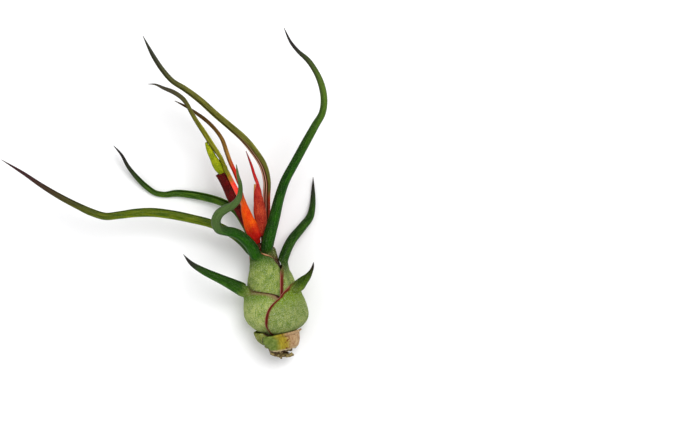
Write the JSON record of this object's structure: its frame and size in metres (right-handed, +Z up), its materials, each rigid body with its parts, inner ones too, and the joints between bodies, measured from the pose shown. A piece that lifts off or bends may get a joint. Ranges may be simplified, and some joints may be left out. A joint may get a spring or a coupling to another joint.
{
  "type": "bulbosa air plant",
  "caption": "Air plant with a swollen bulb of overlapping leaf bases, curling tapered leaves and a red flower head, lying on its side.",
  "frame": {"origin": "middle of the small flat spot under the bulb's belly, on the surface that the plant lies on", "axes": "+Z up from the surface, +Y the way the leaves point from the bulb, +X to the right as the plant is seen from above with its leaves pointing away"},
  "size_m": [0.1208, 0.1213, 0.0514],
  "materials": {
    "stem": "matte",
    "leaf_tall_olive": "matte",
    "leaf_left": "matte",
    "leaf_tall_right": "matte",
    "leaf_long_left": "matte",
    "leaf_hook": "matte",
    "leaf_right": "matte",
    "leaf_low_left": "matte",
    "leaf_low_right": "matte",
    "old_sheath_left": "matte",
    "old_sheath_front": "matte",
    "spike_left_green_bract": "satin",
    "spike_left_dark_bract": "satin",
    "bract_left": "satin",
    "bract_middle": "satin",
    "spike_right_bract": "satin",
    "bract_right": "satin",
    "dry_sheath": "matte",
    "roots": "matte"
  },
  "bodies": {
    "root": {"stem": "stem", "leaf_tall_olive": "leaf_tall_olive", "leaf_left": "leaf_left", "leaf_tall_right": "leaf_tall_right", "leaf_long_left": "leaf_long_left", "leaf_hook": "leaf_hook", "leaf_right": "leaf_right", "leaf_low_left": "leaf_low_left", "leaf_low_right": "leaf_low_right", "old_sheath_left": "old_sheath_left", "old_sheath_front": "old_sheath_front", "spike_left_green_bract": "spike_left_green_bract", "spike_left_dark_bract": "spike_left_dark_bract", "bract_left": "bract_left", "bract_middle": "bract_middle", "spike_right_bract": "spike_right_bract", "bract_right": "bract_right", "dry_sheath": "dry_sheath", "roots": "roots"}
  },
  "joints": []
}
